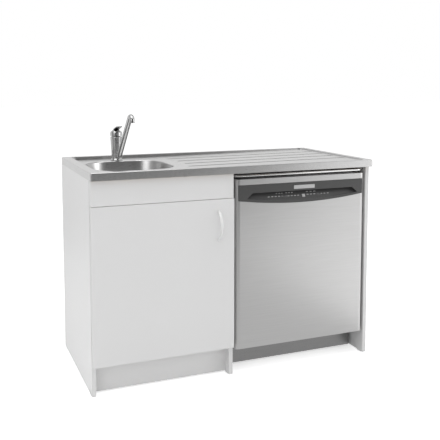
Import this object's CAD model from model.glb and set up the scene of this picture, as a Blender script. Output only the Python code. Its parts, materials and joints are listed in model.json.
# %% [markdown]
# # A sink unit with a dishwasher under its drainer
#
# This lesson dresses a measured model of a kitchen sink unit. The model comes in as a fixed
# frame: every board, bracket and pipe already stands in its real place, in metres. Here it gets
# its finishes, the fine pieces that sheet and wire need up close, and a plain pale studio.

import json
import math

import bpy
from mathutils import Matrix, Vector


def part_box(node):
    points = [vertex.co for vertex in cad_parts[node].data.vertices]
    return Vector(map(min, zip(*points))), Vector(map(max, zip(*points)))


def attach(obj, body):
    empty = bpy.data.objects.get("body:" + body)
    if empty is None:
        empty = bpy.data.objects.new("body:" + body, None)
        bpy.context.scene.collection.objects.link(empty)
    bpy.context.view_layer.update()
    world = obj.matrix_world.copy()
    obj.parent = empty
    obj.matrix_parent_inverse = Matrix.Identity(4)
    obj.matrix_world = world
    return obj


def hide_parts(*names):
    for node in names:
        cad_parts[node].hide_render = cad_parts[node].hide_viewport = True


MM = 0.001
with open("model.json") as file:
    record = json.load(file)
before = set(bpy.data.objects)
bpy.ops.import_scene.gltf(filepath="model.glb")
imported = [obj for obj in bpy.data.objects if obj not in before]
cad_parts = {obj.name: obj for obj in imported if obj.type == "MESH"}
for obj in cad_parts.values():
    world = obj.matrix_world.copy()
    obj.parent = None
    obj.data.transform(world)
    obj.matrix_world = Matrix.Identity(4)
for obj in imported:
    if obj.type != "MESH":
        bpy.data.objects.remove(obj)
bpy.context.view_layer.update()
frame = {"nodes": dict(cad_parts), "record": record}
nodes = frame["nodes"]

# %% [markdown]
# The photographer stood to the left of the unit, at chest height, and used a fairly long lens.
# The lens is also slid down a little, as on a view camera, so that the upright edges stay
# nearly upright although the unit sits in the lower half of the picture.

# %% Stand the camera where the photographer stood
turn_right = math.radians(22.204)
tilt_down = math.radians(5.127)
camera_data = bpy.data.cameras.new("Camera")
camera_data.lens = 57.83
camera_data.shift_y = -0.17
camera = bpy.data.objects.new("Camera", camera_data)
camera.location = (-1.1188, -2.7894, 1.1765)
camera.rotation_euler = (math.radians(90) - tilt_down, 0, -turn_right)
bpy.context.scene.collection.objects.link(camera)
bpy.context.scene.camera = camera
bpy.context.scene.view_settings.view_transform = "Standard"
print("Camera height above the floor:", round(camera.location.z, 2), "m")

# %% [markdown]
# ## A small language for shaders
#
# A finish is a handful of shader nodes. Wiring them by hand is slow to read, so one class wraps
# a node's output, and the signs + * | > on it add Math nodes. `rings + pores` then means what
# it says.

# %% A wrapper for one output of a node
class Wire:
    """One output of a node; arithmetic on it adds Math nodes to its graph."""

    def __init__(self, graph, socket):
        self.graph = graph
        self.socket = socket

    def maths(self, operation, other):
        return self.graph.node("ShaderNodeMath", {"operation": operation}, {0: self, 1: other})

    def __add__(self, other):
        return self.maths("ADD", other)

    def __mul__(self, other):
        return self.maths("MULTIPLY", other)

    def __or__(self, other):
        return self.maths("MAXIMUM", other)

    def __gt__(self, level):
        return self.maths("GREATER_THAN", level)


# %% A graph of nodes, for a material or for the world
class Graph:
    """A node tree, with short ways to add nodes and to join them."""

    def __init__(self, tree):
        self.tree = tree

    def node(self, kind, settings=None, values=None, output=0):
        """Adds a node, sets it up, joins its sockets, and wraps one of its outputs."""
        made = self.tree.nodes.new(kind)
        for name, value in (settings or {}).items():
            setattr(made, name, value)
        for key, value in (values or {}).items():
            self.join(value, made.inputs[key])
        return Wire(self, made.outputs[output])

    def join(self, value, socket):
        """Leads a wire to a socket, or sets the socket to a plain value."""
        if isinstance(value, Wire):
            self.tree.links.new(value.socket, socket)
        else:
            socket.default_value = value

    def looked_at(self):
        """1 for rays from the camera, off a mirror or through glass, and 0 for lighting."""
        rays = self.tree.nodes.new("ShaderNodeLightPath").outputs
        camera_ray, mirror_ray, glass_ray = [Wire(self, rays[name]) for name in (
            "Is Camera Ray", "Is Glossy Ray", "Is Transmission Ray")]
        return camera_ray | mirror_ray | glass_ray


# %% A finish: one material and the nodes that make it up
class Finish(Graph):
    """A new material for one of the unit's real finishes."""

    def __init__(self, name, **constants):
        self.material = bpy.data.materials.new(name)
        self.material.use_nodes = True
        super().__init__(self.material.node_tree)
        self.shader = self.tree.nodes["Principled BSDF"]
        for socket, value in constants.items():
            self.paint(socket.replace("_", " "), value)

    def paint(self, socket, value):
        """Feeds one socket of the shader."""
        self.join(value, self.shader.inputs[socket])

    def place(self, stretch=(1, 1, 1)):
        """The point on the piece in metres, stretched along the three axes."""
        here = self.node("ShaderNodeTexCoord", output="Object")
        return self.node("ShaderNodeMapping", values={"Vector": here, "Scale": stretch})

    def noise(self, scale, stretch=(1, 1, 1), detail=2.0, rough=0.5):
        """Soft random grain, about 0 to 1, with `scale` spots to the metre."""
        return self.node("ShaderNodeTexNoise", values={
            "Vector": self.place(stretch), "Scale": scale, "Detail": detail, "Roughness": rough})

    def between(self, factor, low, high):
        """A number that goes from low to high as the factor goes from 0 to 1."""
        return self.node("ShaderNodeMapRange", values={0: factor, 3: low, 4: high})

    def blend(self, factor, first, second):
        """Two colours mixed by a factor."""
        return self.node("ShaderNodeMix", {"data_type": "RGBA"},
                         {0: factor, 6: first, 7: second}, output=2)

    def relief(self, height, depth):
        """Lets a height pattern of that depth in metres tilt the surface."""
        self.paint("Normal", self.node("ShaderNodeBump", values={
            "Height": height, "Distance": depth, "Strength": 1.0}))


def grey(level, warm=0.0):
    """A grey with a touch of warmth, as a colour."""
    return (level * (1 + warm), level, level * (1 - warm), 1.0)


# %% [markdown]
# ## The studio
#
# The photograph has no room in it, only white. A white floor carries the unit's soft shadow, and
# a white world stands behind it. Camera rays and reflections see the world at full white, while
# the light that falls on the boards is gentler, so that white board still reads as pale grey.

# %% Two helpers for new meshes
def clear_selection():
    """Deselects all, so that an operator works on its own new object alone."""
    bpy.ops.object.select_all(action="DESELECT")


def spread(square, corner, along, up):
    """Moves the points of a flat 2 m square onto the patch that two edges span from a corner."""
    corner, along, up = Vector(corner), Vector(along), Vector(up)
    for vertex in square.data.vertices:
        s, t = (vertex.co.x + 1) / 2, (vertex.co.y + 1) / 2
        vertex.co = corner + along * s + up * t


# %% The floor
white = grey(1.0)
floor_glow = 0.60
clear_selection()
bpy.ops.mesh.primitive_plane_add(size=60, location=(0, 0, -0.5 * MM))
floor = bpy.context.object
floor.name = "studio_floor"
floor_paint = Finish("studio_floor_paint", Base_Color=grey(0.86), Roughness=0.9,
                     Emission_Color=white)
floor_paint.paint("Emission Strength", floor_paint.looked_at() * floor_glow)
floor.data.materials.append(floor_paint.material)

# %% The white world round it
world = bpy.data.worlds.new("studio_world")
world.use_nodes = True
bpy.context.scene.world = world
sky = Graph(world.node_tree)
sky.tree.nodes.clear()
fill_light = sky.node("ShaderNodeBackground", values={"Color": white, "Strength": 0.55})
backdrop = sky.node("ShaderNodeBackground", values={"Color": white, "Strength": 1.0})
choice = sky.node("ShaderNodeMixShader",
                  values={0: sky.looked_at(), 1: fill_light, 2: backdrop})
sky.join(choice, sky.tree.nodes.new("ShaderNodeOutputWorld").inputs["Surface"])

# %% [markdown]
# Three large soft lamps do the work: one overhead, one to the left of the camera, and one to the
# right of the unit.

# %% Lamps
def soft_lamp(name, place, width, height, power):
    """A rectangular lamp at a place, turned to the middle of the unit."""
    data = bpy.data.lights.new(name, "AREA")
    data.shape = "RECTANGLE"
    data.size = width
    data.size_y = height
    data.energy = power
    lamp = bpy.data.objects.new(name, data)
    lamp.location = place
    aim = Vector((0, 0, 0.5)) - Vector(place)
    lamp.rotation_euler = aim.to_track_quat("-Z", "Y").to_euler()
    bpy.context.scene.collection.objects.link(lamp)


soft_lamp("lamp_above", (-0.6, -0.6, 3.4), 3.4, 2.6, power=66)
soft_lamp("lamp_left", (-3.6, -2.6, 1.9), 2.4, 2.2, power=29)
soft_lamp("lamp_right", (3.6, -2.4, 1.5), 1.8, 2.2, power=28)

# %% [markdown]
# Polished steel has no colour of its own and shows the room instead, so a photographer stands
# card round it. The dark card behind the camera turns the steel that faces it grey and gives the
# rim of the sink its dark edge. Paler card hangs overhead, stands to the left and at the back,
# and lies on the floor in front. The cards are in no picture, and only reflections see them.

# %% Cards that only reflections see
def studio_card(name, corner, along, up, level):
    """A card spanned by two edges from one corner, glowing at that level."""
    clear_selection()
    bpy.ops.mesh.primitive_plane_add(size=2)
    card = bpy.context.object
    card.name = name
    spread(card, corner, along, up)
    paint = Finish(name + "_paint", Base_Color=grey(0.0), Roughness=1.0, Specular_IOR_Level=0.0,
                   Emission_Color=white, Emission_Strength=level)
    card.data.materials.append(paint.material)
    card.visible_camera = False
    card.visible_diffuse = False
    card.visible_shadow = False
    card.visible_transmission = False


# The floor card ends just past the unit's right side, so that the right of the dishwasher's
# door shows the white floor beyond it.
front, back, left, right, top = -3.7, 2.2, -4.2, 2.1, 3.8
side_end, back_right = 1.0, 3.1
floor_right, floor_end, floor_gap = 0.78, -0.18, 1 * MM
upward = (0, 0, top)
studio_card("dark_card", (left, front, 0), (right - left, 0, 0), upward, level=0.115)
studio_card("ceiling_card", (left, front, top), (right - left, 0, 0), (0, back - front, 0),
            level=0.28)
studio_card("side_card", (left, front, 0), (0, side_end - front, 0), upward, level=0.40)
studio_card("floor_card", (left, front, floor_gap), (floor_right - left, 0, 0),
            (0, floor_end - front, 0), level=0.85)
studio_card("back_card", (left, back, 0), (back_right - left, 0, 0), upward, level=0.93)

# %% [markdown]
# ## Finishes
#
# White melamine board is pressed paper under clear resin: pale grey, satin, with a very fine
# pebble that only shows where light rakes over it.

# %% White boards
board = Finish("white_melamine", Roughness=0.42)
pebble = board.noise(900, detail=3)
cloud = board.noise(3)
board.paint("Base Color", board.blend(cloud, grey(0.690), grey(0.708)))
board.paint("Roughness", board.between(board.noise(60), 0.36, 0.46))
board.relief(pebble, 0.04 * MM)

plinth = Finish("plinth_melamine", Roughness=0.45)
plinth.paint("Base Color", plinth.blend(plinth.noise(4), grey(0.70, 0.002), grey(0.72, 0.002)))
plinth.relief(plinth.noise(900, detail=3), 0.05 * MM)

# %% [markdown]
# The thin back is hardboard: white lacquer on the face inside the cupboard, bare brown fibre
# towards the wall. A point in the last tenth of a millimetre of its thickness is on the bare
# face.

# %% Hardboard and softwood
lacquer_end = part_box("back_panel")[1].y - 0.1 * MM
hardboard = Finish("fibre_back", Roughness=0.7)
through = hardboard.node("ShaderNodeSeparateXYZ", values={0: hardboard.place()}, output="Y")
fibre = hardboard.noise(220, stretch=(1, 1, 3), detail=6, rough=0.7)
brown = hardboard.blend(fibre, (0.20, 0.12, 0.065, 1), (0.36, 0.24, 0.14, 1))
hardboard.paint("Base Color", hardboard.blend(through > lacquer_end, grey(0.70), brown))
hardboard.relief(fibre, 0.15 * MM)

timber = Finish("sawn_softwood", Roughness=0.62)
rings = timber.noise(26, stretch=(0.12, 2.4, 2.4), detail=4, rough=0.55)
pores = timber.noise(420, stretch=(0.05, 1, 1))
pale = timber.blend(rings, (0.62, 0.46, 0.28, 1), (0.44, 0.29, 0.15, 1))
timber.paint("Base Color", timber.blend(pores * 0.35, pale, (0.33, 0.21, 0.11, 1)))
timber.relief(rings + pores, 0.2 * MM)


# %% [markdown]
# Stainless sheet is drawn through brushes at the mill. The brushing leaves thousands of fine
# scratches along the sheet, which smear every reflection across them. One helper makes such
# sheet, and each piece only says how bright, how rough, and which way the grain runs.

# %% Brushed metal
def brushed(name, level, rough, along, depth, warm=0.0, streak=0.02):
    """Metal sheet with fine scratches; `along` is how far the grain is stretched on each axis."""
    steel = Finish(name, Metallic=1.0)
    scratch = steel.noise(2600, stretch=along, detail=3, rough=0.6)
    broad = steel.noise(420, stretch=along)
    stain = steel.noise(7, detail=3)
    shade = steel.blend(broad, grey(level * (1 - streak), warm), grey(level * (1 + streak), warm))
    steel.paint("Base Color", steel.blend(stain * 0.5, shade, grey(level, warm)))
    steel.paint("Roughness", steel.between(scratch, rough * 0.75, rough * 1.25))
    steel.relief(scratch, depth)
    return steel


grain_x = (0.02, 1, 1)
grain_z = (1, 1, 0.02)
sink_steel = brushed("sink_sheet", 0.56, 0.29, grain_x, 0.006 * MM, warm=0.004)
door_steel = brushed("door_sheet", 0.495, 0.34, grain_x, 0.02 * MM, warm=0.004, streak=0.09)
kick_steel = brushed("kick_sheet", 0.24, 0.30, grain_x, 0.02 * MM, warm=0.003, streak=0.1)
tub_steel = brushed("tub_sheet", 0.60, 0.20, grain_z, 0.008 * MM)
bright_trim = brushed("bright_anodised", 0.50, 0.30, grain_x, 0.01 * MM)
trim_steel = brushed("top_trim_sheet", 0.80, 0.16, grain_x, 0.006 * MM)

# %% [markdown]
# Zinc plate looks like frost: flat crystals a few millimetres wide, each a slightly different
# grey. A Voronoi pattern gives every crystal one random shade.

# %% Plated and polished metal
zinc = Finish("zinc_plate", Metallic=1.0)
crystal = zinc.node("ShaderNodeTexVoronoi", values={"Vector": zinc.place(), "Scale": 160},
                    output="Color")
flake = zinc.node("ShaderNodeSeparateColor", values={0: crystal})
zinc.paint("Base Color", zinc.blend(flake, grey(0.50, -0.01), grey(0.62, -0.01)))
zinc.paint("Roughness", zinc.between(flake, 0.30, 0.48))

chrome = Finish("polished_chrome", Metallic=1.0)
haze = chrome.noise(90, detail=3)
chrome.paint("Base Color", chrome.blend(haze, grey(0.43), grey(0.49)))
chrome.paint("Roughness", chrome.between(haze, 0.15, 0.23))


# %% [markdown]
# Moulded plastic differs by its colour, its gloss and the fine spark-eroded grain of its mould.

# %% Plastics, lacquer and rubber
def moulded(name, colour, rough, grain, depth, coat=0.0):
    """Plastic with a mould grain of so many spots to the metre."""
    plastic = Finish(name, Coat_Weight=coat, Coat_Roughness=0.12)
    spots = plastic.noise(grain, detail=3)
    drift = plastic.noise(12)
    darker = tuple(value * 0.94 for value in colour[:3]) + (1.0,)
    plastic.paint("Base Color", plastic.blend(drift, darker, colour))
    plastic.paint("Roughness", plastic.between(spots, rough * 0.85, rough * 1.15))
    plastic.relief(spots, depth)
    return plastic


console = moulded("console_moulding", grey(0.055), 0.36, 1500, 0.03 * MM)
keys = moulded("key_moulding", grey(0.085), 0.42, 1200, 0.03 * MM)
white_plastic = moulded("white_moulding", grey(0.74), 0.38, 900, 0.03 * MM)
grey_plastic = moulded("grey_moulding", grey(0.36), 0.46, 1100, 0.05 * MM)
ivory_plastic = moulded("cartridge_moulding", grey(0.78, 0.02), 0.34, 900, 0.03 * MM)
lacquer = moulded("handle_lacquer", grey(0.76), 0.26, 500, 0.01 * MM, coat=0.4)
nylon = moulded("rack_nylon", grey(0.52), 0.32, 600, 0.04 * MM)
rubber = moulded("seal_rubber", grey(0.035), 0.62, 700, 0.1 * MM)

# %% [markdown]
# The control board behind the console is glass fibre and resin. Its copper tracks show as
# slightly lighter green lines under the lacquer.

# %% The control board
board_green = Finish("control_board_resin", Roughness=0.32, Coat_Weight=0.3)
tracks = board_green.node("ShaderNodeTexBrick", {"offset": 0.35}, {
    "Vector": board_green.place(), "Scale": 90, "Mortar Size": 0.06,
    "Color1": (0.02, 0.12, 0.05, 1), "Color2": (0.02, 0.14, 0.06, 1),
    "Mortar": (0.06, 0.26, 0.12, 1)})
board_green.paint("Base Color", tracks)

# %% [markdown]
# Each node of the frame names a slot, and each slot has one finish. Only the strip over the
# dishwasher's door is polished further than the rest of its slot.

# %% Give every node its finish
finishes = {
    "white_board": board, "plinth_white": plinth, "hardboard": hardboard, "timber": timber,
    "handle_finish": lacquer, "zinc_steel": zinc, "white_plastic": white_plastic,
    "sink_steel": sink_steel, "tap_chrome": chrome, "cartridge_plastic": ivory_plastic,
    "door_steel": door_steel, "tub_steel": tub_steel, "kick_steel": kick_steel,
    "console_plastic": console, "key_plastic": keys, "bright_trim": bright_trim,
    "board_green": board_green, "grey_plastic": grey_plastic, "rack_coating": nylon,
    "seal_rubber": rubber,
}


def dress(piece, slot):
    """Puts a slot's finish on a piece in place of whatever it had."""
    piece.data.materials.clear()
    piece.data.materials.append(finishes[slot].material)
    for face in piece.data.polygons:
        face.material_index = 0


slot_of = {part["node"]: part["material_slot"] for part in frame["record"]["subparts"]}
for name, node in nodes.items():
    dress(node, slot_of[name])
nodes["dishwasher_top_trim"].data.materials[0] = trim_steel.material
print("Dressed", len(slot_of), "nodes in", len(finishes), "finishes.")


# %% The same for a new piece, which also rides on a body
def finished(piece, slot, body):
    """Gives a new piece its finish, its slot and the body that it moves with."""
    dress(piece, slot)
    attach(piece, body)


# %% [markdown]
# ## Wire racks
#
# The frame's racks are right in size but square in section. A real rack is round steel wire,
# bent to shape, welded where it crosses and dipped in nylon. Each wire is laid as a curve with a
# round section, its corners bent to a small radius, and made a mesh. Wires that cross sit one on
# top of the other, as welded wire does.

# %% A wire bent round its corners
def bent_wire(name, corners, thick, bend=0.0, closed=False):
    """A round wire through the corners, each rounded to the bend, as a mesh."""
    clear_selection()
    bpy.ops.curve.primitive_bezier_curve_add()
    wire = bpy.context.object
    wire.name = name
    straight, curved = 1.3, 0.45
    stops = []
    for at, corner in enumerate(corners):
        here = Vector(corner)
        if not closed and at in (0, len(corners) - 1):
            stops.append((here, here, here))
            continue
        before = (Vector(corners[at - 1]) - here).normalized() * bend
        after = (Vector(corners[(at + 1) % len(corners)]) - here).normalized() * bend
        stops.append((here + before, here + before * straight, here + before * curved))
        stops.append((here + after, here + after * curved, here + after * straight))
    points = wire.data.splines[0].bezier_points
    points.add(len(stops) - len(points))
    for point, (place, handle_in, handle_out) in zip(points, stops):
        point.handle_left_type = point.handle_right_type = "FREE"
        point.co, point.handle_left, point.handle_right = place, handle_in, handle_out
    wire.data.splines[0].use_cyclic_u = closed
    wire.data.resolution_u = 4
    wire.data.bevel_depth = thick / 2
    wire.data.bevel_resolution = 1
    wire.data.use_fill_caps = True
    bpy.ops.object.convert(target="MESH")
    return bpy.context.object


# %% Two more helpers: many meshes made one, and an even row of places
def joined(name, parts):
    """Several meshes made one, smooth where they curve."""
    clear_selection()
    for part in parts:
        part.select_set(True)
    bpy.context.view_layer.objects.active = parts[0]
    bpy.ops.object.join()
    whole = bpy.context.object
    whole.name = name
    bpy.ops.object.shade_smooth_by_angle(angle=math.radians(40))
    return whole


def row(first, last, pitch):
    """Evenly spaced places from first to last, near that pitch."""
    count = max(1, round((last - first) / pitch))
    return [first + (last - first) * step / count for step in range(count + 1)]


# %% A rack: two layers of bent wires, rims, and tines to hold the plates
def wire_rack(name, node, base, tine_rows, tine_height):
    """A rack on the level `base`; a row of tines is its place across and how far they lean."""
    thick, thin, weld = 4.4 * MM, 2.6 * MM, 1.2 * MM
    pitch, tine_pitch = 40 * MM, 28 * MM
    wire_bend, rim_bend = 12 * MM, 22 * MM
    rail_inset, tine_inset = 30 * MM, 50 * MM
    low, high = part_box(node)
    x0, x1 = low.x + thick / 2, high.x - thick / 2
    y0, y1 = low.y + thick / 2, high.y - thick / 2
    top = high.z - thick / 2
    lower = base + thin / 2
    upper = lower + thin - weld
    wires = []
    for y in row(y0 + pitch / 2, y1 - pitch / 2, pitch):
        wires.append(bent_wire("wire", [(x0, y, top), (x0, y, lower), (x1, y, lower),
                                        (x1, y, top)], thin, wire_bend))
    for x in row(x0 + pitch / 2, x1 - pitch / 2, pitch):
        wires.append(bent_wire("wire", [(x, y0, top), (x, y0, upper), (x, y1, upper),
                                        (x, y1, top)], thin, wire_bend))
    for z in (top, (base + top) / 2):
        rim = [(x0, y0, z), (x1, y0, z), (x1, y1, z), (x0, y1, z)]
        wires.append(bent_wire("rim", rim, thick, rim_bend, closed=True))
    for x, lean in tine_rows:
        rail = [(x, y0 + rail_inset, upper + thin), (x, y1 - rail_inset, upper + thin)]
        wires.append(bent_wire("tine_rail", rail, thick))
        for y in row(y0 + tine_inset, y1 - tine_inset, tine_pitch):
            tip = (x + lean, y, upper + tine_height)
            wires.append(bent_wire("tine", [(x, y, upper + thin), tip], thin))
    rack = joined(name, wires)
    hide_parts(node)
    finished(rack, "rack_coating", "carcase")
    print(name, "has", len(rack.data.polygons), "faces.")


# %% The lower rack
lower_tines = [(x, 12 * MM) for x in (0.07, 0.17, 0.27, 0.37)]
wire_rack("lower_rack_wires", "lower_rack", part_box("lower_rack")[0].z, lower_tines, 62 * MM)

# %% [markdown]
# The upper spray arm hangs on a hub under the upper rack. Round parts like this are turned: half
# of the outline is drawn as a line of points, and spun once round an upright axis.

# %% A turned form
def turned(name, profile, centre, steps=48):
    """A solid of revolution from (radius, height) pairs that start and end on the axis."""
    clear_selection()
    bpy.ops.curve.primitive_nurbs_path_add()
    line = bpy.context.object
    line.name = name
    line.data.splines.clear()
    half = line.data.splines.new("POLY")
    half.points.add(len(profile) - 1)
    for point, (radius, height) in zip(half.points, profile):
        point.co = (centre[0] + radius, centre[1], centre[2] + height, 1)
    bpy.ops.object.convert(target="MESH")
    bpy.ops.object.mode_set(mode="EDIT")
    bpy.ops.mesh.select_all(action="SELECT")
    bpy.ops.mesh.spin(steps=steps, angle=math.tau, center=centre, axis=(0, 0, 1))
    bpy.ops.mesh.select_all(action="SELECT")
    bpy.ops.mesh.remove_doubles(threshold=0.04 * MM)
    bpy.ops.mesh.normals_make_consistent(inside=False)
    bpy.ops.object.mode_set(mode="OBJECT")
    bpy.ops.object.shade_smooth_by_angle(angle=math.radians(35))
    return bpy.context.object


# %% The upper rack and its hub, which is a flange under the rack and a stem in the arm
arm_low, arm_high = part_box("upper_spray_arm")
hub_centre = ((arm_low.x + arm_high.x) / 2, (arm_low.y + arm_high.y) / 2, arm_high.z)
flange_top, flange_foot, flange_edge, flange = 8.3 * MM, 0.3 * MM, 1.5 * MM, 20 * MM
stem_foot, stem_edge, stem = -17.7 * MM, 1 * MM, 6 * MM
wire_rack("upper_rack_wires", "upper_rack", arm_high.z + flange_top,
          [(0.10, 20 * MM), (0.45, -20 * MM)], 50 * MM)
hub_outline = [(0, stem_foot), (stem - stem_edge, stem_foot), (stem, stem_foot + stem_edge),
               (stem, flange_foot), (flange - flange_edge, flange_foot),
               (flange, flange_foot + flange_edge), (flange, flange_top - flange_edge),
               (flange - flange_edge, flange_top), (0, flange_top)]
finished(turned("upper_rack_hub", hub_outline, hub_centre), "grey_plastic", "carcase")

# %% [markdown]
# ## The cutlery basket
#
# The basket in the lower rack is a moulded lattice, open so that water gets through. A flat grid
# is stretched over each wall, and the Wireframe modifier leaves only its ribs. The basket has
# four cells, a floor, walls, dividers between the cells and a rim round the top.

# %% One lattice wall
def lattice(name, corner, along, up, pitch, rib):
    """Ribs over the flat patch that two edges span from one corner."""
    clear_selection()
    columns = max(2, round(along.length / pitch))
    rows = max(2, round(up.length / pitch))
    bpy.ops.mesh.primitive_grid_add(x_subdivisions=columns, y_subdivisions=rows, size=2)
    wall = bpy.context.object
    wall.name = name
    spread(wall, corner, along, up)
    ribs = wall.modifiers.new("ribs", "WIREFRAME")
    ribs.thickness = rib
    ribs.use_even_offset = False
    bpy.ops.object.modifier_apply(modifier="ribs")
    return wall


# %% The basket from its floor, walls, dividers and rim
rib, rim_thick, rim_corner = 1.8 * MM, 3 * MM, 4 * MM
floor_pitch, wall_pitch = 11 * MM, 13 * MM
cells = 4
low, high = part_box("cutlery_basket")
low, high = low + Vector((rib, rib, rib)), high - Vector((rib, rib, 1.5 * rib))
wide = Vector((high.x - low.x, 0, 0))
deep = Vector((0, high.y - low.y, 0))
tall = Vector((0, 0, high.z - low.z))
walls = [lattice("floor", low, deep, wide, floor_pitch, rib),
         lattice("side", low, deep, tall, wall_pitch, rib),
         lattice("side", low + wide, deep, tall, wall_pitch, rib)]
for wall in range(cells + 1):
    walls.append(lattice("divider", low + deep * (wall / cells), wide, tall, wall_pitch, rib))
rim = [(low.x, low.y, high.z), (high.x, low.y, high.z), (high.x, high.y, high.z),
       (low.x, high.y, high.z)]
walls.append(bent_wire("rim", rim, rim_thick, rim_corner, closed=True))
cutlery_lattice = joined("cutlery_lattice", walls)
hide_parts("cutlery_basket")
finished(cutlery_lattice, "grey_plastic", "carcase")
print("The cutlery basket has", len(cutlery_lattice.data.polygons), "faces.")

# %% [markdown]
# ## Screws
#
# Flat-pack boards are held by cross-head screws. A head is turned, and a cross cutter takes its
# recess out of the top with a Boolean modifier. It is modelled once at the origin and copied to
# each place, turned to face the way that it stands out.

# %% One screw head
def screw_head(radius, height):
    """A domed head with a cross recess, its underside at the origin."""
    dome = [(0, 0), (radius, 0), (radius * 0.96, height * 0.35), (radius * 0.75, height * 0.8),
            (0, height)]
    cross_length, cross_width, cross_depth = radius * 1.1, radius * 0.24, height * 1.1
    head = turned("screw_head", dome, (0, 0, 0), steps=24)
    for angle in (0, math.pi / 2):
        clear_selection()
        bpy.ops.mesh.primitive_cube_add(size=1, location=(0, 0, height), rotation=(0, 0, angle))
        cutter = bpy.context.object
        cutter.scale = (cross_length, cross_width, cross_depth)
        clear_selection()
        head.select_set(True)
        bpy.context.view_layer.objects.active = head
        recess = head.modifiers.new("recess", "BOOLEAN")
        recess.operation = "DIFFERENCE"
        recess.object = cutter
        bpy.ops.object.modifier_apply(modifier="recess")
        bpy.data.objects.remove(cutter)
    return head


def screws(name, places, outward, radius, height, body):
    """Copies of one screw head at each place, all facing the same way."""
    head = screw_head(radius, height)
    turn = Vector(outward).to_track_quat("Z", "Y").to_matrix().to_4x4()
    copies = []
    for place in places:
        copy = head.copy()
        copy.data = head.data.copy()
        copy.data.transform(Matrix.Translation(place) @ turn)
        bpy.context.scene.collection.objects.link(copy)
        copies.append(copy)
    bpy.data.objects.remove(head)
    finished(joined(name, copies), "zinc_steel", body)


# %% The screws of the back panel
side_inset, end_inset, screw_pitch = 9 * MM, 12 * MM, 280 * MM
low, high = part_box("back_panel")
back_places = [Vector((x, high.y, z))
               for x in row(low.x + side_inset, high.x - side_inset, screw_pitch)
               for z in (low.z + end_inset, high.z - end_inset)]
screws("back_panel_screws", back_places, (0, 1, 0), 4.2 * MM, 1.3 * MM, "carcase")

# %% The screws of the concealed hinges: beside each cup, and on each plate
hinge_screw, hinge_dome = 3.6 * MM, 1.1 * MM
cup_middle, cup_edge, cup_spacing = 20 * MM, 7 * MM, 14 * MM
low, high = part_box("hinge_cups")
cup_places = [Vector((high.x - cup_edge, high.y, z + offset))
              for z in (low.z + cup_middle, high.z - cup_middle)
              for offset in (-cup_spacing, cup_spacing)]
screws("hinge_cup_screws", cup_places, (0, 1, 0), hinge_screw, hinge_dome, "cupboard_door_leaf")

plate_thick, plate_middle, plate_inset, plate_spacing = 3 * MM, 23 * MM, 35 * MM, 16 * MM
low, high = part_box("hinge_arms")
plate_places = [Vector((low.x + plate_thick, high.y - plate_inset, z + offset))
                for z in (low.z + plate_middle, high.z - plate_middle)
                for offset in (-plate_spacing, plate_spacing)]
screws("hinge_plate_screws", plate_places, (1, 0, 0), hinge_screw, hinge_dome, "carcase")

# %% [markdown]
# ## Small marks on the console
#
# Beside the keys, the slope of the grip carries short light dashes, printed through a screen, one
# for each programme. Print has no thickness to speak of, but a dash that stands a fraction of a
# millimetre proud catches its own light and is easier to export than a painted pattern. Here the
# dashes are plain, with no words. The slope runs from its foot, flush with the face, up to the
# back of the recess, so one helper puts a point on it from its place across and its height.

# %% The slope of the grip, and one dash on it
print_paint = Finish("console_print", Roughness=0.45)
wear = print_paint.noise(700, detail=3)
print_paint.paint("Base Color", print_paint.blend(wear, grey(0.42), grey(0.56)))
console_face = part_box("dishwasher_console")[0].y
slope_foot = Vector((0, console_face, 0.697))
slope_up = Vector((0, 0.501, 0.8655))
slope_out = Vector((0, -slope_up.z, slope_up.y))
dash_height, dash_thick, dash_bevel, dash_lift = 2.6 * MM, 0.3 * MM, 0.12 * MM, 0.02 * MM
dash_share = 0.55


def slope_point(across, height, proud):
    """A point on the slope at that x, that height in z, standing proud by so much."""
    along = (height - slope_foot.z) / slope_up.z
    return Vector((across, 0, 0)) + slope_foot + slope_up * along + slope_out * proud


def dash(across, height, length):
    """A raised dash with bevelled edges, lying on the slope."""
    clear_selection()
    bpy.ops.mesh.primitive_cube_add(size=1, location=(0, 0, 0))
    mark = bpy.context.object
    mark.name = "dash"
    mark.scale = (length, dash_height, dash_thick)
    bpy.ops.object.transform_apply(location=False, rotation=False, scale=True)
    bpy.ops.object.mode_set(mode="EDIT")
    bpy.ops.mesh.select_all(action="SELECT")
    bpy.ops.mesh.bevel(offset=dash_bevel, segments=1)
    bpy.ops.object.mode_set(mode="OBJECT")
    mark.rotation_euler = slope_out.to_track_quat("Z", "Y").to_euler()
    mark.location = slope_point(across, height, dash_lift)
    bpy.ops.object.transform_apply(location=True, rotation=True, scale=False)
    return mark


# %% The rows of dashes: first and last place across, height, and pitch
dash_rows = [(0.128, 0.206, 0.7142, 0.0156), (0.217, 0.262, 0.7136, 0.015),
             (0.166, 0.190, 0.7250, 0.012), (0.210, 0.236, 0.7252, 0.013),
             (0.306, 0.341, 0.7250, 0.0175), (0.306, 0.402, 0.7146, 0.016)]
dashes = []
for first, last, height, pitch in dash_rows:
    for across in row(first, last, pitch):
        dashes.append(dash(across, height, pitch * dash_share))
console_marks = joined("console_marks", dashes)
finished(console_marks, "key_plastic", "dishwasher_door_leaf")
console_marks.data.materials[0] = print_paint.material
print("The console has", len(dashes), "dashes.")
